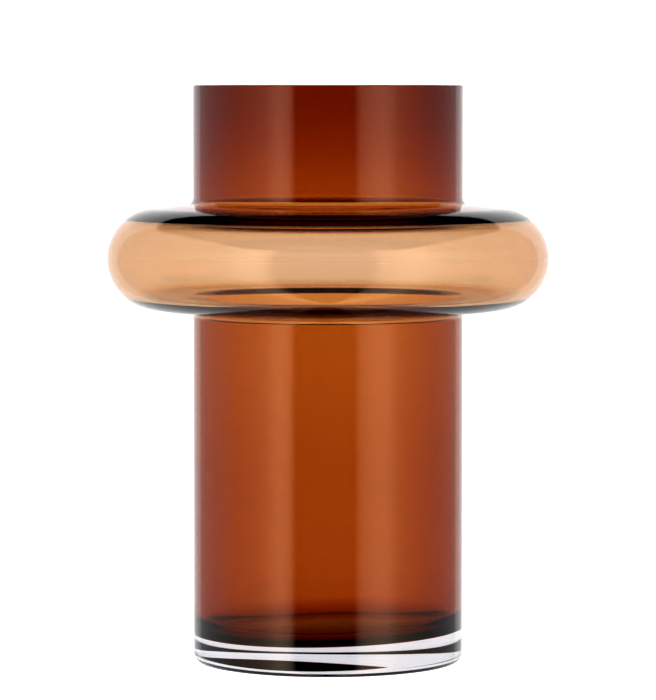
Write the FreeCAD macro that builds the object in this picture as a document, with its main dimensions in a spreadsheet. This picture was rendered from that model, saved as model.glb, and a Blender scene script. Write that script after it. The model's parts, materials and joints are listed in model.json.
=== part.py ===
"""A cased glass vase with a hollow ring: an amber lining inside a clear casing, on a thick clear heel.

The origin is the centre of the base, and +Z points up out of the mouth. Lengths are in millimetres and
angles in degrees.

The glass is three nested envelopes, each turned about the vase's axis from one outline:

    casing_form   the outside of the vase
    lining_form   the boundary between the clear casing and the amber lining
    hollow_form   the air inside, the ring's hollow included

The casing is casing_form less lining_form, and the lining is lining_form less hollow_form. Both layers
are then divided at the same levels into the neck, the ring's crown, the ring's belly, the body and the
base, so that every solid meets its neighbours face to face.
"""

import FreeCAD, Part
import math
import os

import Sketcher

SIZES = {
    "height": 200.0,
    "cylinder_radius": 46.8,
    # the ring: a round nose, shoulders that slope down from the wall, and small fillets into the wall
    "ring_level": 140.0,
    "nose_centre": 59.1,
    "nose_radius": 17.6,
    "shoulder_slope": 7.0,
    "wall_fillet": 2.0,
    "ring_reach": 21.5,
    # the wall, and the amber lining's share of it
    "wall": 3.5,
    "amber_rim": 1.4,
    "amber_neck": 1.0,
    "amber_ring": 0.4,
    "amber_shoulder": 0.8,
    "amber_foot": 1.0,
    # the base
    "heel_height": 9.5,
    "floor_thickness": 2.0,
    "inside_corner": 6.0,
    "heel_edge": 2.0,
    "rim_edge": 0.5,
}

# each envelope's own sizes, as formulas in the sheet's cells
CASING_FORM = {
    "rim": "Sizes.cylinder_radius",
    "neck": "Sizes.cylinder_radius",
    "shoulder": "Sizes.cylinder_radius",
    "foot": "Sizes.cylinder_radius",
    "fillet": "Sizes.wall_fillet",
    "nose": "Sizes.nose_radius",
    "corner": "Sizes.heel_edge",
    "base": None,
}
LINING_FORM = {
    "rim": "Sizes.cylinder_radius - Sizes.wall + Sizes.amber_rim",
    "neck": "Sizes.cylinder_radius - Sizes.wall + Sizes.amber_neck",
    "shoulder": "Sizes.cylinder_radius - Sizes.wall + Sizes.amber_shoulder",
    "foot": "Sizes.cylinder_radius - Sizes.wall + Sizes.amber_foot",
    "fillet": "Sizes.wall_fillet + Sizes.wall - Sizes.amber_ring",
    "nose": "Sizes.nose_radius - Sizes.wall + Sizes.amber_ring",
    "corner": "Sizes.inside_corner + Sizes.amber_foot",
    "base": "Sizes.heel_height",
}
HOLLOW_FORM = {
    "rim": "Sizes.cylinder_radius - Sizes.wall",
    "neck": "Sizes.cylinder_radius - Sizes.wall",
    "shoulder": "Sizes.cylinder_radius - Sizes.wall",
    "foot": "Sizes.cylinder_radius - Sizes.wall",
    "fillet": "Sizes.wall_fillet + Sizes.wall",
    "nose": "Sizes.nose_radius - Sizes.wall",
    "corner": "Sizes.inside_corner",
    "base": "Sizes.heel_height + Sizes.floor_thickness",
}

RING_TOP = "Sizes.ring_level + Sizes.ring_reach"
RING_BOTTOM = "Sizes.ring_level - Sizes.ring_reach"
FLOOR_RADIUS = "Sizes.cylinder_radius - Sizes.wall - Sizes.inside_corner"

UP = FreeCAD.Vector(0, 0, 1)
START = 1
END = 2
CENTRE = 3
ORIGIN = (-1, 1)
VERTICAL_AXIS = -2
HORIZONTAL_AXIS = -1


def make_sheet(doc):
    """The driving sizes, one named cell each."""
    sheet = doc.addObject("Spreadsheet::Sheet", "Sizes")
    for row, (alias, size) in enumerate(SIZES.items(), start=1):
        sheet.set(f"A{row}", alias.replace("_", " "))
        sheet.set(f"B{row}", str(size))
        sheet.setAlias(f"B{row}", alias)
    doc.recompute()
    return sheet


class Outline:
    """Half of a lengthwise section: a closed chain of segments. x is the radius and y the height."""

    def __init__(self, body, name, sheet):
        self.sketch = body.newObject("Sketcher::SketchObject", name)
        plane = next(f for f in body.Origin.OriginFeatures if f.Role == "XZ_Plane")
        self.sketch.AttachmentSupport = [(plane, "")]
        self.sketch.MapMode = "FlatFace"
        self.sheet = sheet
        self.segments = []

    def size(self, formula):
        """What a formula in the sheet's cells comes to."""
        return float(self.sheet.evalExpression(formula)) if formula else 0.0

    def line(self, start, end):
        """A straight segment."""
        segment = Part.LineSegment(FreeCAD.Vector(*start, 0), FreeCAD.Vector(*end, 0))
        self.segments.append((self.sketch.addGeometry(segment), START, END))
        return self.segments[-1][0]

    def arc(self, start, end, centre):
        """The shorter arc about centre. A clockwise one is entered at its end."""
        radius = math.dist(start, centre)
        angles = [math.atan2(p[1] - centre[1], p[0] - centre[0]) for p in (start, end)]
        forwards = (angles[1] - angles[0]) % math.tau < math.pi
        if not forwards:
            angles.reverse()
        circle = Part.Circle(FreeCAD.Vector(*centre, 0), UP, radius)
        index = self.sketch.addGeometry(Part.ArcOfCircle(circle, *angles))
        self.segments.append((index, START, END) if forwards else (index, END, START))
        return index

    def join(self, smooth):
        """Joins each segment to the next. smooth holds the places in the chain that are tangent."""
        following = self.segments[1:] + self.segments[:1]
        for place, (here, after) in enumerate(zip(self.segments, following)):
            kind = "Tangent" if place in smooth else "Coincident"
            ends = (here[0], here[2], after[0], after[1])
            self.sketch.addConstraint(Sketcher.Constraint(kind, *ends))

    def bind(self, name, formula, kind, *where):
        """A dimension that follows the sheet."""
        index = self.sketch.addConstraint(Sketcher.Constraint(kind, *where, self.size(formula)))
        self.sketch.renameConstraint(index, name)
        self.sketch.setExpression(f"Constraints.{name}", formula)


def ring_points(outline, wall_radius, fillet, nose):
    """Where one side of the ring's outline changes from wall to fillet to shoulder to nose.

    The points are given as a radius and a height above the ring's level. The shoulder is a straight line
    that is tangent to the nose and to the fillet.
    """
    slope = math.radians(outline.size("Sizes.shoulder_slope"))
    across, up = math.sin(slope), math.cos(slope)
    nose_end = (outline.size("Sizes.nose_centre") + nose * across, nose * up)
    centre_radius = wall_radius + fillet
    centre_height = nose_end[1] + (fillet - (centre_radius - nose_end[0]) * across) / up
    fillet_centre = (centre_radius, centre_height)
    fillet_end = (centre_radius - fillet * across, centre_height - fillet * up)
    return (wall_radius, centre_height), fillet_centre, fillet_end, nose_end


def draw_form(outline, form):
    """Draws an envelope's outline, rim to base and back up the axis, and ties it to the sheet."""
    rim, neck, shoulder, foot, fillet, nose, corner, base = (outline.size(f) for f in form.values())
    height = outline.size("Sizes.height")
    level = outline.size("Sizes.ring_level")
    ring_top = outline.size(RING_TOP)
    ring_bottom = outline.size(RING_BOTTOM)

    def above(point):
        return point[0], level + point[1]

    def below(point):
        return point[0], level - point[1]

    neck_side_ring = ring_points(outline, neck, fillet, nose)
    body_side_ring = ring_points(outline, shoulder, fillet, nose)
    top_wall, top_centre, top_fillet, top_nose = map(above, neck_side_ring)
    low_wall, low_centre, low_fillet, low_nose = map(below, body_side_ring)
    nose_centre = (outline.size("Sizes.nose_centre"), level)
    nose_tip = (nose_centre[0] + nose, level)

    top = outline.line((0, height), (rim, height))
    neck_side = outline.line((rim, height), (neck, ring_top))
    top_land = outline.line((neck, ring_top), top_wall)
    top_arc = outline.arc(top_wall, top_fillet, top_centre)
    top_slope = outline.line(top_fillet, top_nose)
    upper_nose = outline.arc(top_nose, nose_tip, nose_centre)
    lower_nose = outline.arc(nose_tip, low_nose, nose_centre)
    low_slope = outline.line(low_nose, low_fillet)
    low_arc = outline.arc(low_fillet, low_wall, low_centre)
    low_land = outline.line(low_wall, (shoulder, ring_bottom))
    body_side = outline.line((shoulder, ring_bottom), (foot, base + corner))
    corner_centre = (foot - corner, base + corner)
    corner_arc = outline.arc((foot, base + corner), (foot - corner, base), corner_centre)
    bottom = outline.line((foot - corner, base), (0, base))
    axis = outline.line((0, base), (0, height))

    outline.join(smooth={2, 3, 4, 5, 6, 7, 8, 10, 11})

    sketch = outline.sketch
    nose_end = f"Sizes.nose_centre + ({form['nose']}) * sin(Sizes.shoulder_slope)"
    for level_line in (top, bottom):
        sketch.addConstraint(Sketcher.Constraint("Horizontal", level_line))
    for upright in (top_land, low_land):
        sketch.addConstraint(Sketcher.Constraint("Vertical", upright))
    sketch.addConstraint(Sketcher.Constraint("PointOnObject", axis, START, VERTICAL_AXIS))
    sketch.addConstraint(Sketcher.Constraint("PointOnObject", axis, END, VERTICAL_AXIS))

    outline.bind("rim_height", "Sizes.height", "DistanceY", *ORIGIN, top, END)
    outline.bind("rim_radius", form["rim"], "DistanceX", *ORIGIN, top, END)
    outline.bind("neck_radius", form["neck"], "DistanceX", *ORIGIN, top_land, START)
    outline.bind("neck_foot", RING_TOP, "DistanceY", *ORIGIN, top_land, START)
    outline.bind("upper_fillet", form["fillet"], "Radius", top_arc)
    outline.bind("nose_radius", form["nose"], "Radius", upper_nose)
    outline.bind("nose_start", nose_end, "DistanceX", *ORIGIN, top_slope, END)
    outline.bind("nose_finish", nose_end, "DistanceX", *ORIGIN, low_slope, START)
    outline.bind("nose_centre", "Sizes.nose_centre", "DistanceX", *ORIGIN, upper_nose, CENTRE)
    outline.bind("nose_level", "Sizes.ring_level", "DistanceY", *ORIGIN, upper_nose, CENTRE)
    sketch.addConstraint(Sketcher.Constraint("Coincident", upper_nose, CENTRE, lower_nose, CENTRE))
    outline.bind("tip_level", "Sizes.ring_level", "DistanceY", *ORIGIN, lower_nose, END)
    outline.bind("lower_fillet", form["fillet"], "Radius", low_arc)
    outline.bind("shoulder_radius", form["shoulder"], "DistanceX", *ORIGIN, low_land, END)
    outline.bind("body_top", RING_BOTTOM, "DistanceY", *ORIGIN, low_land, END)
    outline.bind("foot_radius", form["foot"], "DistanceX", *ORIGIN, body_side, END)
    outline.bind("corner_radius", form["corner"], "Radius", corner_arc)
    if form["base"]:
        outline.bind("base_height", form["base"], "DistanceY", *ORIGIN, bottom, END)
    else:
        sketch.addConstraint(Sketcher.Constraint("PointOnObject", bottom, END, HORIZONTAL_AXIS))


def turned_form(doc, sheet, name, form):
    """One envelope: its outline turned about the vase's axis."""
    body = doc.addObject("PartDesign::Body", name)
    outline = Outline(body, f"{name}_outline", sheet)
    draw_form(outline, form)
    turning = body.newObject("PartDesign::Revolution", f"{name}_turning")
    turning.Profile = outline.sketch
    turning.ReferenceAxis = (outline.sketch, ["V_Axis"])
    turning.Angle = 360.0
    doc.recompute()
    return body


def layer(doc, name, outside, inside):
    """The glass between two envelopes."""
    shell = doc.addObject("Part::Cut", name)
    shell.Base = outside
    shell.Tool = inside
    return shell


def zone(doc, name, shell, bottom, top):
    """The stretch of a layer between two heights, cut out with a slab that is wider than the ring."""
    slab = doc.addObject("Part::Cylinder", f"{name}_slab")
    slab.setExpression("Radius", "Sizes.nose_centre + 2 * Sizes.nose_radius")
    slab.setExpression("Height", f"({top}) - ({bottom})")
    slab.setExpression("Placement.Base.z", bottom)
    piece = doc.addObject("Part::Common", name)
    piece.Base = shell
    piece.Tool = slab
    return piece


def polished_rim(doc, sheet, name, zone_piece, rim_radius):
    """A neck with its open edge at the rim rounded, as grinding and polishing leave it."""
    rounded = doc.addObject("Part::Fillet", name)
    rounded.Base = zone_piece
    for number, edge in enumerate(zone_piece.Shape.Edges, start=1):
        box = edge.BoundBox
        at_rim = math.isclose(box.ZMin, sheet.height) and math.isclose(box.ZMax, sheet.height)
        if at_rim and math.isclose(box.XMax, rim_radius, abs_tol=1e-3):
            rounded.Edges = [(number, sheet.rim_edge, sheet.rim_edge)]
    return rounded


def clear_casing(doc, sheet, shell):
    """The clear layer: neck, the two halves of the ring, body and heel."""
    neck = zone(doc, "clear_neck_zone", shell, RING_TOP, "Sizes.height")
    doc.recompute()
    return {
        "clear_neck": polished_rim(doc, sheet, "clear_neck", neck, sheet.cylinder_radius),
        "clear_ring_crown": zone(doc, "clear_ring_crown", shell, "Sizes.ring_level", RING_TOP),
        "clear_ring_belly": zone(doc, "clear_ring_belly", shell, RING_BOTTOM, "Sizes.ring_level"),
        "clear_body": zone(doc, "clear_body", shell, "Sizes.heel_height", RING_BOTTOM),
        "clear_heel": zone(doc, "clear_heel", shell, "0", "Sizes.heel_height"),
    }


def amber_lining(doc, sheet, shell):
    """The amber layer: neck, the two halves of the ring, body and floor.

    The floor is the flat disc inside the body's rounded corner, and the body's zone is cut round it.
    """
    neck = zone(doc, "amber_neck_zone", shell, RING_TOP, "Sizes.height")
    body = zone(doc, "amber_body_zone", shell, "Sizes.heel_height", RING_BOTTOM)
    floor = doc.addObject("Part::Cylinder", "amber_floor")
    floor.setExpression("Radius", FLOOR_RADIUS)
    floor.setExpression("Height", "Sizes.floor_thickness")
    floor.setExpression("Placement.Base.z", "Sizes.heel_height")
    doc.recompute()
    return {
        "amber_neck": polished_rim(doc, sheet, "amber_neck", neck, sheet.cylinder_radius - sheet.wall),
        "amber_ring_crown": zone(doc, "amber_ring_crown", shell, "Sizes.ring_level", RING_TOP),
        "amber_ring_belly": zone(doc, "amber_ring_belly", shell, RING_BOTTOM, "Sizes.ring_level"),
        "amber_body": layer(doc, "amber_body", body, floor),
        "amber_floor": floor,
    }


def check(doc, nodes):
    """Stops before anything is written if an object has failed or a node isn't one sound solid."""
    for thing in doc.Objects:
        if {"Invalid", "Error"} & set(thing.State):
            raise RuntimeError(f"{thing.Name} failed: {thing.State}")
    for name, node in nodes.items():
        shape = node.Shape
        if shape.isNull() or not shape.isValid() or len(shape.Solids) != 1:
            raise RuntimeError(f"{name} is not one sound solid")


def main():
    doc = FreeCAD.newDocument("ring_vase")
    sheet = make_sheet(doc)
    casing_form = turned_form(doc, sheet, "casing_form", CASING_FORM)
    lining_form = turned_form(doc, sheet, "lining_form", LINING_FORM)
    hollow_form = turned_form(doc, sheet, "hollow_form", HOLLOW_FORM)
    nodes = clear_casing(doc, sheet, layer(doc, "casing", casing_form, lining_form))
    nodes |= amber_lining(doc, sheet, layer(doc, "lining", lining_form, hollow_form))
    doc.recompute()
    check(doc, nodes)

    os.makedirs("parts", exist_ok=True)
    for name, node in nodes.items():
        node.Label = name
        node.Shape.exportStep(f"parts/{name}.step")
        print(f"{name}: {node.Shape.Volume / 1000:.2f} cm3")


main()
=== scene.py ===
"""Glass flower vase: a cased amber cylinder with a hollow ring blown out under its rim.

The clear casing is one closed vessel of glass. The amber lining is a thin layer of coloured glass that lies
just inside the vessel's inner wall, from the rim to the floor. Sizes are in metres, in the frame's axes.
"""

import sys  # noqa: E702

import json
import logging
import math
from dataclasses import dataclass, field
from enum import Enum

import bpy
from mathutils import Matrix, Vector


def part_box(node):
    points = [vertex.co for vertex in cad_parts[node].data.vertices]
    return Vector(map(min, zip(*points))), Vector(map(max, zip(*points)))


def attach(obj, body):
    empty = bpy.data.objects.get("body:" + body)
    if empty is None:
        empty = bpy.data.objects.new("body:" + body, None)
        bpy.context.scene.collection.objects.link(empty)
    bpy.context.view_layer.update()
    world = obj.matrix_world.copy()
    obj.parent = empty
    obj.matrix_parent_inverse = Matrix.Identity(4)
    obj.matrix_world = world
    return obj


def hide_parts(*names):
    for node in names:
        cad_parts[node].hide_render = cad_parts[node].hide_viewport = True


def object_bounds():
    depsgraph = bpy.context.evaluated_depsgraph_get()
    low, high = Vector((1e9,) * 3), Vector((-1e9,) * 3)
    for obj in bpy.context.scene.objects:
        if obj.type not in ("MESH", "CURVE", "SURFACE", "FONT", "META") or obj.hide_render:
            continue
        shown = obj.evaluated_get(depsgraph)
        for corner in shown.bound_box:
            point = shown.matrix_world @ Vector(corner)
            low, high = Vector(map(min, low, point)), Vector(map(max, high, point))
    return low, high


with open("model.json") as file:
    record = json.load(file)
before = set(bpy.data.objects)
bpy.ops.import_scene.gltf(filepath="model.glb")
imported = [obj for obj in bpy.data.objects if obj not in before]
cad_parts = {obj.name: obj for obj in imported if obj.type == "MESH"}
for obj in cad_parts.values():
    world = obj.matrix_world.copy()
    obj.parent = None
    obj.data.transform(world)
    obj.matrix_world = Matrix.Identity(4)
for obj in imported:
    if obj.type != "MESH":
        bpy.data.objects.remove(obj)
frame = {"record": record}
CAD_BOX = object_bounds()

MM = 0.001
AXIS = 1e-9

# how finely the glass is cut up: round the axis, then along each stretch of its outline
TURN_STEPS = 256
FILLET_STEPS = 14
SHOULDER_STEPS = 10
NOSE_STEPS = 48
NECK_STEPS = 12
BODY_STEPS = 32
CORNER_STEPS = 16
FLOOR_STEPS = 16
CREASE_STEPS = 6
HEEL_STEPS = 12
RIM_STEPS = 8
DISH_STEPS = 24
FLAT_STEPS = 4

log = logging.getLogger("vase")

Point = tuple[float, float]
Colour = tuple[float, float, float]


class Layer(Enum):
    """The two layers of glass, each with its material slot in the record."""

    CLEAR = "clear_casing"
    AMBER = "amber_lining"

    def nodes(self) -> list[str]:
        """The CAD nodes that this layer is made of."""
        return [part["node"] for part in frame["record"]["subparts"] if part["material_slot"] == self.value]


# ---------------------------------------------------------------- shader bench


class Wire:
    """A socket that can stand in a sum. Each operator adds one Math node."""

    def __init__(self, bench: "Bench", socket: bpy.types.NodeSocket) -> None:
        """Keeps the bench that adds the nodes, and the socket that holds the value."""
        self.bench = bench
        self.socket = socket

    def _math(self, operation: str, *values: "Wire | float") -> "Wire":
        """Adds a Math node.

        Args:
            operation: the node's operation.
            values: the numbers or wires it works on, in order.

        Returns:
            The node's result.
        """
        return self.bench.add("ShaderNodeMath", {"operation": operation}, dict(enumerate(values)))

    def __add__(self, other: "Wire | float") -> "Wire":
        """self + other."""
        return self._math("ADD", self, other)

    def __radd__(self, other: float) -> "Wire":
        """other + self."""
        return self._math("ADD", other, self)

    def __sub__(self, other: "Wire | float") -> "Wire":
        """self - other."""
        return self._math("SUBTRACT", self, other)

    def __rsub__(self, other: float) -> "Wire":
        """other - self."""
        return self._math("SUBTRACT", other, self)

    def __mul__(self, other: "Wire | float") -> "Wire":
        """self * other."""
        return self._math("MULTIPLY", self, other)

    def __rmul__(self, other: float) -> "Wire":
        """other * self."""
        return self._math("MULTIPLY", other, self)

    def absolute(self) -> "Wire":
        """The value without its sign."""
        return self._math("ABSOLUTE", self)

    def above(self, limit: float) -> "Wire":
        """1 where the value is over limit, and 0 elsewhere."""
        return self._math("GREATER_THAN", self, limit)

    def highest(self, other: "Wire") -> "Wire":
        """The greater of two values."""
        return self._math("MAXIMUM", self, other)

    def clipped(self, low: float, high: float) -> "Wire":
        """Where the value lies between low and high, from 0 to 1."""
        inputs = {"Value": self, "From Min": low, "From Max": high}
        return self.bench.add("ShaderNodeMapRange", {"clamp": True}, inputs)

    def angle_from(self, other: "Wire") -> "Wire":
        """The angle whose tangent is self over other, in radians."""
        return self._math("ARCTAN2", self, other)


class Bench:
    """Adds nodes to one material or world."""

    def __init__(self, owner: bpy.types.Material | bpy.types.World) -> None:
        """Clears the owner's nodes.

        Args:
            owner: the material or world whose nodes are built.
        """
        owner.use_nodes = True
        self.tree = owner.node_tree
        self.tree.nodes.clear()

    def add(
        self,
        kind: str,
        settings: dict[str, object] | None = None,
        inputs: dict[str | int, object] | None = None,
        output: str | int = 0,
    ) -> Wire:
        """Adds one node.

        Args:
            kind: the node's type name.
            settings: what is set on the node before its sockets. "stops" holds a ramp's stops.
            inputs: a value or a wire for each socket, by name or place.
            output: the output to hand back, by name or place.

        Returns:
            The chosen output, as a wire.
        """
        node = self.tree.nodes.new(kind)
        for name, value in (settings or {}).items():
            if name == "stops":
                self._set_stops(node.color_ramp, value)
            else:
                setattr(node, name, value)
        for name, value in (inputs or {}).items():
            if isinstance(value, Wire):
                self.tree.links.new(value.socket, node.inputs[name])
            else:
                node.inputs[name].default_value = value
        has_output = len(node.outputs) > 0
        return Wire(self, node.outputs[output] if has_output else node.inputs[0])

    @staticmethod
    def _set_stops(ramp: bpy.types.ColorRamp, stops: list[tuple[float, Colour]]) -> None:
        """Fills a ramp.

        Args:
            ramp: the ramp, as Blender makes it, with two stops.
            stops: place and colour of each stop, in order.
        """
        while len(ramp.elements) < len(stops):
            ramp.elements.new(0.5)
        for element, (place, colour) in zip(ramp.elements, stops):
            element.position = place
            element.color = (*colour, 1.0)

    def place(self) -> Wire:
        """The place on the object, in metres from the frame's origin."""
        return self.add("ShaderNodeTexCoord", output="Object")

    def noise(self, where: Wire, scale: float = 1.0, detail: float = 2.0) -> Wire:
        """Soft noise.

        Args:
            where: the coordinates.
            scale: how many lumps there are in a unit of the coordinates.
            detail: how many finer layers are added.

        Returns:
            A value from 0 to 1, mostly near 0.5.
        """
        inputs = {"Vector": where, "Scale": scale, "Detail": detail}
        return self.add("ShaderNodeTexNoise", {"noise_dimensions": "3D"}, inputs, "Fac")

    def stretch(self, where: Wire, scale: Vector) -> Wire:
        """The coordinates, scaled along each axis."""
        return self.add("ShaderNodeMapping", {}, {"Vector": where, "Scale": scale})

    def mixed(self, factor: Wire, low: "Wire | Colour", high: "Wire | Colour") -> Wire:
        """A colour between two that may be wires, as factor goes from 0 to 1."""
        settings = {"data_type": "RGBA"}
        return self.add("ShaderNodeMix", settings, {0: factor, 6: low, 7: high}, 2)

    def blend(self, factor: Wire, low: Colour, high: Colour) -> Wire:
        """A colour between two, as factor goes from 0 to 1."""
        stops = [(0.0, low), (1.0, high)]
        return self.add("ShaderNodeValToRGB", {"stops": stops}, {"Fac": factor}, "Color")


# ---------------------------------------------------------------- finishes


@dataclass(frozen=True)
class Depth:
    """How much of each colour a glass takes out, for each millimetre that light goes through it."""

    takes: Colour

    def fill(self, bench: Bench) -> Wire:
        """Adds the absorption that fills the glass.

        Args:
            bench: the bench of the glass's material.

        Returns:
            The volume, for the material's output.
        """
        strongest = max(self.takes)
        colour = tuple(1.0 - each / strongest for each in self.takes)
        inputs = {"Color": (*colour, 1.0), "Density": strongest / MM}
        return bench.add("ShaderNodeVolumeAbsorption", {}, inputs, "Volume")


@dataclass(frozen=True)
class ClearGlass:
    """Fire-polished clear glass with the faint waviness of a mouth-blown wall."""

    name: str = "clear casing glass"
    refraction: float = 1.5
    pale: Colour = (1.0, 1.0, 1.0)
    cordy: Colour = (0.985, 0.985, 0.99)
    cords_per_metre: Vector = field(default_factory=lambda: Vector((26.0, 26.0, 5.0)))
    waves_per_metre: Vector = field(default_factory=lambda: Vector((34.0, 34.0, 12.0)))
    wave_height: float = 0.008 * MM
    depth: Depth = Depth((0.0049, 0.0050, 0.0044))

    def material(self) -> bpy.types.Material:
        """Builds the finish.

        Returns:
            The material.
        """
        material = bpy.data.materials.new(self.name)
        bench = Bench(material)
        place = bench.place()
        cords = bench.noise(bench.stretch(place, self.cords_per_metre))
        waves = bench.noise(bench.stretch(place, self.waves_per_metre), detail=1.0)
        bump = {"Strength": 1.0, "Distance": self.wave_height, "Height": waves}
        normal = bench.add("ShaderNodeBump", {}, bump)
        glass = bench.add(
            "ShaderNodeBsdfPrincipled",
            {},
            {
                "Base Color": bench.blend(cords, self.cordy, self.pale),
                "Roughness": 0.0,
                "IOR": self.refraction,
                "Transmission Weight": 1.0,
                "Normal": normal,
            },
        )
        bench.add("ShaderNodeOutputMaterial", {}, {"Surface": glass, "Volume": self.depth.fill(bench)})
        return material


@dataclass(frozen=True)
class AmberGlass:
    """Amber glass that takes out blue first and red last, so it is darker and redder where it is thicker."""

    name: str = "amber lining glass"
    refraction: float = 1.0
    depth: Depth = Depth((0.50, 1.25, 2.60))
    streak_light: Colour = (1.0, 1.0, 1.0)
    streak_dark: Colour = (0.97, 0.94, 0.90)
    streaks_per_metre: Vector = field(default_factory=lambda: Vector((60.0, 60.0, 4.0)))
    stretched: Colour = (0.922, 0.888, 0.945)
    ring_half: float = 18.0 * MM
    ring_fade: float = 4.0 * MM

    def material(self) -> bpy.types.Material:
        """Builds the finish.

        Returns:
            The material.
        """
        material = bpy.data.materials.new(self.name)
        bench = Bench(material)
        place = bench.place()
        streaks = bench.noise(bench.stretch(place, self.streaks_per_metre), detail=3.0)
        height = bench.add("ShaderNodeSeparateXYZ", {}, {0: place}, 2)
        away = (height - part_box("clear_ring_crown")[0].z).absolute()
        on_ring = 1.0 - away.clipped(self.ring_half - self.ring_fade, self.ring_half)
        streaky = bench.blend(streaks, self.streak_dark, self.streak_light)
        glass = bench.add(
            "ShaderNodeBsdfPrincipled",
            {},
            {
                "Base Color": bench.mixed(on_ring, streaky, (*self.stretched, 1.0)),
                "Roughness": 0.0,
                "IOR": self.refraction,
                "Transmission Weight": 1.0,
            },
        )
        bench.add("ShaderNodeOutputMaterial", {}, {"Surface": glass, "Volume": self.depth.fill(bench)})
        return material


@dataclass(frozen=True)
class PaleTable:
    """A matt white table top that is lit from below, so that it stays pale under the vase."""

    name: str = "pale table"
    paper: Colour = (0.5, 0.5, 0.5)
    grain: Colour = (0.49, 0.49, 0.49)
    grains_per_metre: float = 40.0
    glow: float = 1.13

    def material(self) -> bpy.types.Material:
        """Builds the finish.

        Returns:
            The material.
        """
        material = bpy.data.materials.new(self.name)
        bench = Bench(material)
        grain = bench.noise(bench.place(), self.grains_per_metre)
        top = bench.add(
            "ShaderNodeBsdfPrincipled",
            {},
            {
                "Base Color": bench.blend(grain, self.grain, self.paper),
                "Roughness": 0.9,
                "Specular IOR Level": 0.0,
                "Emission Color": (1.0, 1.0, 1.0, 1.0),
                "Emission Strength": self.glow,
            },
        )
        bench.add("ShaderNodeOutputMaterial", {}, {"Surface": top})
        return material


# ---------------------------------------------------------------- turned glass


@dataclass(frozen=True)
class Spot:
    """A place on the casing's outer surface and the way out of the glass there, as radius and height."""

    place: Point
    out: Point

    def sunk(self, depth: float) -> Point:
        """The place that lies this deep in the glass."""
        return (self.place[0] - self.out[0] * depth, self.place[1] - self.out[1] * depth)


def arc(
    centre: Point, radius: float, start: float, end: float, steps: int, glass_outside: bool = False
) -> list[Spot]:
    """Spots along an arc.

    Args:
        centre: radius and height of the arc's centre.
        radius: the arc's radius.
        start: angle of the first spot, in degrees, from outwards towards up.
        end: angle of the last spot.
        steps: how many pieces the arc has.
        glass_outside: True if the glass lies outside the arc.

    Returns:
        The spots, with both ends.
    """
    spots = []
    side = -1.0 if glass_outside else 1.0
    for step in range(steps + 1):
        angle = math.radians(start + (end - start) * step / steps)
        across, up = math.cos(angle), math.sin(angle)
        place = (centre[0] + radius * across, centre[1] + radius * up)
        spots.append(Spot(place, (side * across, side * up)))
    return spots


def places(spots: list[Spot]) -> list[Point]:
    """The spots' places."""
    return [spot.place for spot in spots]


def straight(start: Point, end: Point, steps: int) -> list[Point]:
    """Points between two points, without the ends."""
    shares = [step / steps for step in range(1, steps)]
    return [(start[0] + (end[0] - start[0]) * s, start[1] + (end[1] - start[1]) * s) for s in shares]


def eased(low: float, high: float, value: float) -> float:
    """0 up to low, 1 from high, and a smooth rise between them."""
    share = min(max((value - low) / (high - low), 0.0), 1.0)
    return share * share * (3.0 - 2.0 * share)


@dataclass(frozen=True)
class Profile:
    """Half of a section through the vase, as radius and height, walked from the axis underneath, up the
    outside, over the rim and down the inside to the axis again."""

    points: tuple[Point, ...]

    def turned(self, name: str) -> bpy.types.Object:
        """Turns the profile about the axis into a closed mesh.

        Args:
            name: the object's name.

        Returns:
            The object, in the scene.
        """
        vertices: list[tuple[float, float, float]] = []
        rings: list[int] = []
        for radius, height in self.points:
            rings.append(len(vertices))
            if radius < AXIS:
                vertices.append((0.0, 0.0, height))
                continue
            for step in range(TURN_STEPS):
                angle = math.tau * step / TURN_STEPS
                vertices.append((radius * math.cos(angle), radius * math.sin(angle), height))
        faces: list[tuple[int, ...]] = []
        for here in range(len(rings) - 1):
            after = here + 1
            lone_here, lone_after = self.points[here][0] < AXIS, self.points[after][0] < AXIS
            for step in range(TURN_STEPS):
                onward = (step + 1) % TURN_STEPS
                low = (rings[here],) if lone_here else (rings[here] + step, rings[here] + onward)
                high = (rings[after],) if lone_after else (rings[after] + onward, rings[after] + step)
                faces.append(low + high)
        mesh = bpy.data.meshes.new(name)
        mesh.from_pydata(vertices, [], faces)
        mesh.polygons.foreach_set("use_smooth", [True] * len(mesh.polygons))
        mesh.update()
        thing = bpy.data.objects.new(name, mesh)
        bpy.context.scene.collection.objects.link(thing)
        return thing


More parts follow.
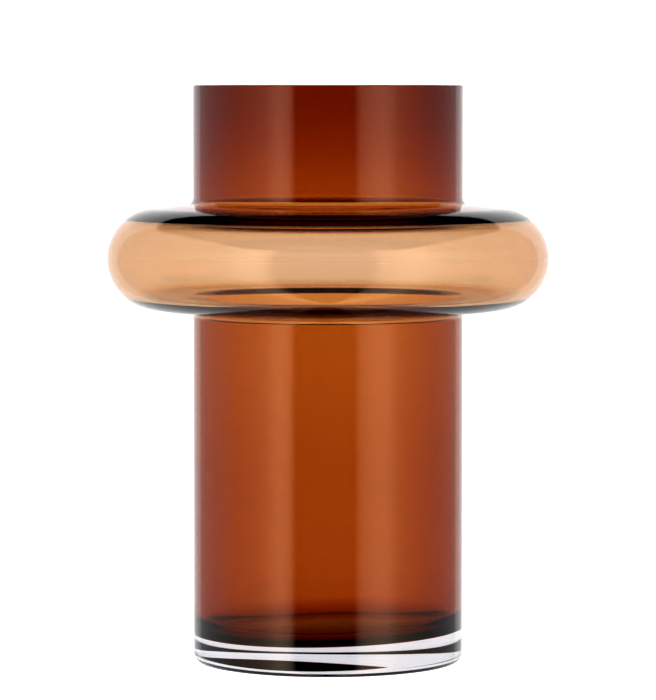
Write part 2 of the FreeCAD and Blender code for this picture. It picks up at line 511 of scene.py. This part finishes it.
@dataclass
class Vessel:
    """The wall that the two layers share: the outer form, and how thick the glass and its lining are."""

    wall: float = 3.5 * MM
    crown: float = 4.4 * MM
    belly: float = 3.3 * MM
    nose: float = 2.5 * MM
    swell: Point = (0.0, 0.16)
    thinning: Point = (0.33, 0.62)
    fillet: float = 2.0 * MM
    nose_centre: float = 59.1 * MM
    slope: float = 7.0
    rim_edge: float = 0.5 * MM
    floor_corner: float = 6.0 * MM
    floor_rise: float = 1.4 * MM
    crease: float = 0.9 * MM
    crease_rise: float = 0.35 * MM
    amber_rim: float = 1.58 * MM
    amber_neck: float = 1.02 * MM
    amber_ring: float = 0.23 * MM
    amber_body: float = 0.84 * MM
    amber_foot: float = 1.05 * MM
    amber_stretch: Point = (0.1, 0.6)
    amber_up_neck: Point = (0.25, 1.0)
    amber_down_body: Point = (0.35, 0.8)
    amber_near_foot: Point = (0.0, 0.2)
    lean: float = math.tan(math.radians(1.5))
    lean_top: float = 35.0 * MM
    lean_margin: float = 1.0 * MM

    top: float = field(init=False)
    level: float = field(init=False)
    radius: float = field(init=False)
    ring_radius: float = field(init=False)
    floor: float = field(init=False)
    amber_floor: float = field(init=False)

    def __post_init__(self) -> None:
        """Reads the places from the frame."""
        self.top = CAD_BOX[1].z
        self.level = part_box("clear_ring_crown")[0].z
        self.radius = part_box("clear_body")[1].x
        self.ring_radius = CAD_BOX[1].x
        self.amber_floor, self.floor = (corner.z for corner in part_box("amber_floor"))

    def half_ring(self) -> list[Spot]:
        """The outer surface of the ring's upper half, above its middle.

        Returns:
            Spots from the wall, round the fillet, along the shoulder and round the nose to its middle.
        """
        slope = math.radians(self.slope)
        across, up = math.sin(slope), math.cos(slope)
        nose = self.ring_radius - self.nose_centre
        nose_end = (self.nose_centre + nose * across, nose * up)
        centre_radius = self.radius + self.fillet
        centre_height = nose_end[1] + (self.fillet - (centre_radius - nose_end[0]) * across) / up
        centre = (centre_radius, centre_height)
        fillet = arc(centre, self.fillet, 180.0, 270.0 - self.slope, FILLET_STEPS, glass_outside=True)
        round_nose = arc((self.nose_centre, 0.0), nose, 90.0 - self.slope, 0.0, NOSE_STEPS)
        flat = straight(fillet[-1].place, round_nose[0].place, SHOULDER_STEPS)
        return fillet + [Spot(place, (across, up)) for place in flat] + round_nose

    def half_ring_depths(self, shoulder: float) -> list[float]:
        """How thick the glass is at each spot of half_ring.

        Args:
            shoulder: how thick it is along the ring's shoulder.

        Returns:
            The depths, from the wall's to the nose's.
        """
        spots = places(self.half_ring())
        run = [0.0]
        for here, after in zip(spots, spots[1:]):
            run.append(run[-1] + math.dist(here, after))
        depths = []
        for way in run:
            share = way / run[-1]
            depth = self.wall + (shoulder - self.wall) * eased(*self.swell, share)
            depths.append(depth + (self.nose - shoulder) * eased(*self.thinning, share))
        return depths

    def half_ring_amber(self, wall: float) -> list[float]:
        """How thick the lining is at each spot of half_ring.

        Args:
            wall: its thickness on the straight wall that the ring joins.

        Returns:
            The thicknesses. The lining is stretched thin over most of the ring.
        """
        last = len(self.half_ring()) - 1
        shares = [step / last for step in range(last + 1)]
        return [wall + (self.amber_ring - wall) * eased(*self.amber_stretch, share) for share in shares]

    def amber_at(self, height: float) -> float:
        """Thickness of the lining on the straight wall.

        Args:
            height: the height on the vase.

        Returns:
            The thickness: greatest at the rim and at the foot.
        """
        if height > self.level:
            share = (height - self.level) / (self.top - self.level)
            return self.amber_neck + (self.amber_rim - self.amber_neck) * eased(*self.amber_up_neck, share)
        share = (height - self.floor) / (self.level - self.floor)
        halfway = 0.5 * (self.amber_body + self.amber_foot)
        upper = self.amber_body + (halfway - self.amber_body) * (1.0 - eased(*self.amber_down_body, share))
        return upper + (self.amber_foot - upper) * (1.0 - eased(*self.amber_near_foot, share))

    def ring(self, sink: list[float], sink_below: list[float]) -> list[Point]:
        """The ring's surface, sunk into the glass.

        Args:
            sink: how deep it lies at each spot of the upper half, from the neck to the ring's middle.
            sink_below: the same for the lower half, from the body to the ring's middle.

        Returns:
            Points from the neck's lower end to the body's upper end.
        """
        spots = self.half_ring()
        above = [spot.sunk(depth) for spot, depth in zip(spots, sink)]
        below = [spot.sunk(depth) for spot, depth in zip(spots, sink_below)][::-1]
        half = [(radius, self.level + height) for radius, height in above]
        return half + [(radius, self.level - height) for radius, height in below[1:]]

    def inside(self, inset: float) -> list[Point]:
        """The hollow's surface, from just under the rim down to the middle of the floor.

        Args:
            inset: how far into the glass the surface lies.

        Returns:
            Points down the neck, ring and body and in along the floor.
        """
        above, below = (
            [depth - inset for depth in self.half_ring_depths(shoulder)]
            for shoulder in (self.crown, self.belly)
        )
        ring = self.ring(above, below)
        inner = self.radius - self.wall + inset
        corner = self.floor_corner + inset
        floor = self.floor - inset
        turn = places(arc((inner - corner, floor + corner), corner, 0.0, -90.0, CORNER_STEPS))
        points = straight((inner, self.top - self.rim_edge), ring[0], NECK_STEPS) + ring
        points += straight(ring[-1], turn[0], BODY_STEPS) + turn
        return points + self._floor_line(turn[-1][0], floor)

    def _floor_line(self, reach: float, floor: float) -> list[Point]:
        """The inside floor, from its corner to the axis.

        Args:
            reach: the radius where the corner ends.
            floor: the height there.

        Returns:
            The points. The floor rises towards its middle, and has a crease round its edge.
        """
        crease_at = reach - self.crease
        radii = [reach - self.crease * step / CREASE_STEPS for step in range(1, 2 * CREASE_STEPS + 1)]
        radii += [radii[-1] * (1.0 - step / FLOOR_STEPS) for step in range(1, FLOOR_STEPS + 1)]
        line = []
        for radius in radii:
            crease = 1.0 - eased(0.0, self.crease, abs(radius - crease_at))
            rise = self.floor_rise * (1.0 - (radius / reach) ** 2) + self.crease_rise * crease
            line.append((radius, floor + rise))
        return line

    def lean_floor(self, layer: bpy.types.Object) -> None:
        """Leans the inside floor, as a hand-gathered heel's does.

        The lean fades out up the plain wall, and leaves the outside and the underside true.

        Args:
            layer: a layer of the glass, with a level floor.
        """
        low = self.amber_floor - self.lean_margin
        inside = self.radius - self.lean_margin
        for vertex in layer.data.vertices:
            x, y, z = vertex.co
            if math.hypot(x, y) < inside and low < z < self.lean_top:
                vertex.co.z = z + self.lean * x * (1.0 - eased(low, self.lean_top, z))
        layer.data.update()


@dataclass
class ClearCasing:
    """The clear glass: the whole thickness of the wall and the heavy heel."""

    vessel: Vessel
    finish: ClearGlass = field(default_factory=ClearGlass)
    heel_height: float = 2.9 * MM
    heel_round: float = 3.6 * MM
    heel_edge: float = 0.3 * MM
    dish_radius: float = 43.0 * MM
    dish_rise: float = 2.2 * MM
    dish_lean: float = 0.95

    def heel(self) -> list[Point]:
        """The heel's outline: a slow curve in from the wall, and a tight one on to the table.

        Returns:
            Points from the underside up to the wall.
        """
        reach = self.heel_round - self.heel_edge
        turn = math.degrees(math.asin((self.heel_height - self.heel_edge) / reach))
        slow_centre = (self.vessel.radius - self.heel_round, self.heel_height)
        tight_centre = (
            slow_centre[0] + reach * math.cos(math.radians(turn)),
            slow_centre[1] - reach * math.sin(math.radians(turn)),
        )
        tight = arc(tight_centre, self.heel_edge, -90.0, -turn, HEEL_STEPS)
        slow = arc(slow_centre, self.heel_round, -turn, 0.0, HEEL_STEPS)
        return places(tight + slow[1:])

    def underside(self, flat: Point) -> list[Point]:
        """The shallow dish under the heel, and the ground flat round it.

        Args:
            flat: the outer end of the flat.

        Returns:
            Points from the axis out to the flat's end, without it.
        """
        shares = [step / DISH_STEPS for step in range(DISH_STEPS + 1)]
        dish = [(self.dish_radius * share, self.dish_rise * (1.0 - share * share)) for share in shares]
        return dish + straight(dish[-1], flat, FLAT_STEPS)

    def profile(self) -> Profile:
        """The closed section of the casing.

        Returns:
            The profile.
        """
        vessel, edge = self.vessel, self.vessel.rim_edge
        heel = self.heel()
        none = [0.0] * len(vessel.half_ring())
        ring = vessel.ring(none, none)[::-1]
        lip = vessel.top - edge
        outer_rim = places(arc((vessel.radius - edge, lip), edge, 0.0, 90.0, RIM_STEPS))
        inner = vessel.radius - vessel.wall
        inner_rim = places(arc((inner + edge, lip), edge, 90.0, 180.0, RIM_STEPS))
        points = self.underside(heel[0]) + heel + straight(heel[-1], ring[0], BODY_STEPS) + ring
        points += straight(ring[-1], outer_rim[0], NECK_STEPS) + outer_rim + inner_rim
        points += vessel.inside(0.0)
        return Profile(tuple(points))

    def build(self) -> bpy.types.Object:
        """Builds the casing and dresses it.

        Returns:
            The casing.
        """
        casing = self.profile().turned("clear_casing_glass")
        self.vessel.lean_floor(casing)
        self._lean_dish(casing)
        casing.data.materials.append(self.finish.material())
        return casing

    def _lean_dish(self, casing: bpy.types.Object) -> None:
        """Makes the dish under the heel deeper on one side, as a hand-ground heel's is.

        Args:
            casing: the casing.
        """
        for vertex in casing.data.vertices:
            x, y, z = vertex.co
            if z <= self.dish_rise and math.hypot(x, y) < self.dish_radius:
                vertex.co.z = z * (1.0 - self.dish_lean * x / self.dish_radius)
        casing.data.update()


@dataclass
class AmberLining:
    """The amber glass inside the casing, stretched thin where the ring was blown out."""

    vessel: Vessel
    finish: AmberGlass = field(default_factory=AmberGlass)
    inset: float = 0.03 * MM
    under_corner: float = 7.0 * MM

    def profile(self) -> Profile:
        """The closed section of the lining.

        Returns:
            The profile.
        """
        vessel = self.vessel
        inner = vessel.radius - vessel.wall
        floor = vessel.amber_floor
        neck_amber = vessel.half_ring_amber(vessel.amber_neck)
        body_amber = vessel.half_ring_amber(vessel.amber_body)
        above, below = (
            [depth - thick for depth, thick in zip(vessel.half_ring_depths(shoulder), amber)]
            for shoulder, amber in ((vessel.crown, neck_amber), (vessel.belly, body_amber))
        )
        ring = vessel.ring(above, below)[::-1]
        foot = inner + vessel.amber_foot
        centre = (foot - self.under_corner, floor + self.under_corner)
        corner = places(arc(centre, self.under_corner, -90.0, 0.0, CORNER_STEPS))
        points = [(0.0, floor)] + straight((0.0, floor), corner[0], NECK_STEPS) + corner
        points += self._wall(corner[-1][1], ring[0][1], BODY_STEPS) + ring
        rim = vessel.top - self.inset
        edge = vessel.rim_edge
        points += self._wall(ring[-1][1], rim, NECK_STEPS) + [(inner + vessel.amber_rim, rim)]
        points += places(arc((inner + self.inset + edge, rim - edge), edge, 90.0, 180.0, RIM_STEPS))
        return Profile(tuple(points + vessel.inside(self.inset)))

    def _wall(self, low: float, high: float, steps: int) -> list[Point]:
        """The lining's outer surface on a straight stretch of wall, without its ends."""
        inner = self.vessel.radius - self.vessel.wall
        heights = [low + (high - low) * step / steps for step in range(1, steps)]
        return [(inner + self.vessel.amber_at(height), height) for height in heights]

    def build(self) -> bpy.types.Object:
        """Builds the lining and dresses it.

        Returns:
            The lining.
        """
        lining = self.profile().turned("amber_lining_glass")
        self.vessel.lean_floor(lining)
        lining.data.materials.append(self.finish.material())
        return lining


# ---------------------------------------------------------------- studio


@dataclass(frozen=True)
class TentWall:
    """One side of the light tent: how bright it is at each bearing from the front, in degrees."""

    light: tuple[Point, ...]
    warm: Colour = (1.5, 1.2, 0.88)
    warm_until: float = 88.0
    half_turn: float = 180.0

    def stops(self, brightest: float) -> list[tuple[float, Colour]]:
        """The wall as a ramp from the front to the back.

        Args:
            brightest: the light that the ramp's white stands for.

        Returns:
            Place and colour of each stop. The front of the wall is warm.
        """
        stops = []
        for bearing, light in self.light:
            tint = self.warm if bearing < self.warm_until else (1.0, 1.0, 1.0)
            stops.append((bearing / self.half_turn, tuple(light * each / brightest for each in tint)))
        return stops


@dataclass(frozen=True)
class LightTent:
    """The white tent round the table, with its dark roof and its dark opening at the front.

    The walls' brightness by bearing is what the glass mirrors. Seen through the glass, the whole tent up to
    its roof is as bright as its back.
    """

    back: float = 1.35
    left: TentWall = TentWall(
        (
            (27.0, 0.0),
            (33.0, 1.9),
            (40.0, 2.45),
            (46.0, 2.25),
            (54.0, 1.55),
            (64.0, 1.2),
            (84.0, 0.95),
            (100.0, 1.15),
            (139.0, 1.0),
            (142.0, 1.35),
        )
    )
    right: TentWall = TentWall(
        (
            (22.0, 0.0),
            (28.0, 1.5),
            (38.0, 2.2),
            (47.0, 2.5),
            (53.0, 2.3),
            (62.0, 1.45),
            (72.0, 1.1),
            (95.0, 0.95),
            (139.0, 0.95),
            (142.0, 1.35),
        )
    )
    brightest: float = 5.0
    side_top: float = 0.92
    back_top: float = 0.68
    top_blur: float = 0.02

    def build(self) -> bpy.types.World:
        """Builds the tent as the scene's world.

        Returns:
            The world.
        """
        world = bpy.data.worlds.new("light tent")
        bench = Bench(world)
        way = bench.add("ShaderNodeTexCoord", output="Generated")
        x, y, z = (bench.add("ShaderNodeSeparateXYZ", {}, {0: way}, axis) for axis in range(3))
        turn = x.angle_from(y * -1.0) * (1.0 / math.pi)
        left, right = (
            bench.add("ShaderNodeValToRGB", {"stops": wall.stops(self.brightest)}, {"Fac": turn.absolute()})
            for wall in (self.left, self.right)
        )
        walls = bench.mixed(turn.above(0.0), left, right)
        around = (self.back / self.brightest,) * 3 + (1.0,)
        mirrored = bench.add("ShaderNodeLightPath", output="Is Reflection Ray")
        reach = bench.add("ShaderNodeVectorMath", {"operation": "MULTIPLY"}, {0: way, 1: (1.0, 1.0, 0.0)})
        level = bench.add("ShaderNodeVectorMath", {"operation": "LENGTH"}, {0: reach}, "Value")
        edge = (x.absolute() * self.side_top).highest(level * self.back_top)
        below_top = (edge - z).clipped(-self.top_blur, self.top_blur)
        seen = bench.add("ShaderNodeLightPath", output="Is Camera Ray")
        inputs = {
            "Color": bench.mixed(mirrored, around, walls),
            "Strength": below_top.highest(seen) * self.brightest,
        }
        light = bench.add("ShaderNodeBackground", {}, inputs, "Background")
        bench.add("ShaderNodeOutputWorld", {}, {"Surface": light})
        return world


@dataclass
class Studio:
    """A pale table in a light tent, and the camera."""

    table: PaleTable = field(default_factory=PaleTable)
    tent: LightTent = field(default_factory=LightTent)
    table_size: float = 6.0
    table_gap: float = 0.3 * MM
    eye: Vector = field(default_factory=lambda: Vector((0.0, -1.46, 0.2)))
    aim: Vector = field(default_factory=lambda: Vector((0.0, 0.0, 0.1081)))
    lens: float = 216.5
    contrast: float = 1.5
    bounces: int = 32
    diffuse_bounces: int = 3
    clip: tuple[float, float] = (0.05, 20.0)

    def build(self) -> None:
        """Builds the table, the tent and the camera."""
        self._table()
        scene = bpy.context.scene
        scene.world = self.tent.build()
        self._camera()
        scene.view_settings.view_transform = "Standard"
        scene.view_settings.gamma = 1.0 / self.contrast
        scene.cycles.max_bounces = self.bounces
        scene.cycles.transmission_bounces = self.bounces
        scene.cycles.glossy_bounces = self.bounces
        scene.cycles.diffuse_bounces = self.diffuse_bounces

    def _table(self) -> None:
        """Lays the table just under the vase. The glass doesn't mirror it."""
        half = self.table_size / 2.0
        mesh = bpy.data.meshes.new("pale table top")
        corners = [(-half, -half, 0.0), (half, -half, 0.0), (half, half, 0.0), (-half, half, 0.0)]
        mesh.from_pydata(corners, [], [(0, 1, 2, 3)])
        mesh.materials.append(self.table.material())
        table = bpy.data.objects.new("pale_table", mesh)
        table.location.z = CAD_BOX[0].z - self.table_gap
        table.visible_glossy = False
        bpy.context.scene.collection.objects.link(table)

    def _camera(self) -> None:
        """Stands the camera at rim height, looking a little down."""
        lens = bpy.data.cameras.new("camera")
        lens.lens = self.lens
        lens.clip_start, lens.clip_end = self.clip
        camera = bpy.data.objects.new("camera", lens)
        bpy.context.scene.collection.objects.link(camera)
        camera.location = self.eye
        camera.rotation_mode = "QUATERNION"
        camera.rotation_quaternion = (self.aim - self.eye).to_track_quat("-Z", "Y")
        bpy.context.scene.camera = camera


# ---------------------------------------------------------------- the whole


def hand_over(piece: bpy.types.Object, layer: Layer) -> None:
    """Puts a finished piece on the vase's body in place of its CAD nodes.

    Args:
        piece: the finished piece.
        layer: the layer of glass that it is.
    """
    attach(piece, "root")
    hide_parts(*layer.nodes())
    log.info("%s: %d faces, for %s", piece.name, len(piece.data.polygons), ", ".join(layer.nodes()))


def main() -> None:
    """Builds the studio and the two layers of glass, in order."""
    logging.basicConfig(level=logging.INFO, format="%(name)s: %(message)s", stream=sys.stdout)
    Studio().build()
    log.info("studio: table, light tent and camera")
    vessel = Vessel()
    hand_over(ClearCasing(vessel).build(), Layer.CLEAR)
    hand_over(AmberLining(vessel).build(), Layer.AMBER)


if __name__ == "__main__":
    main()
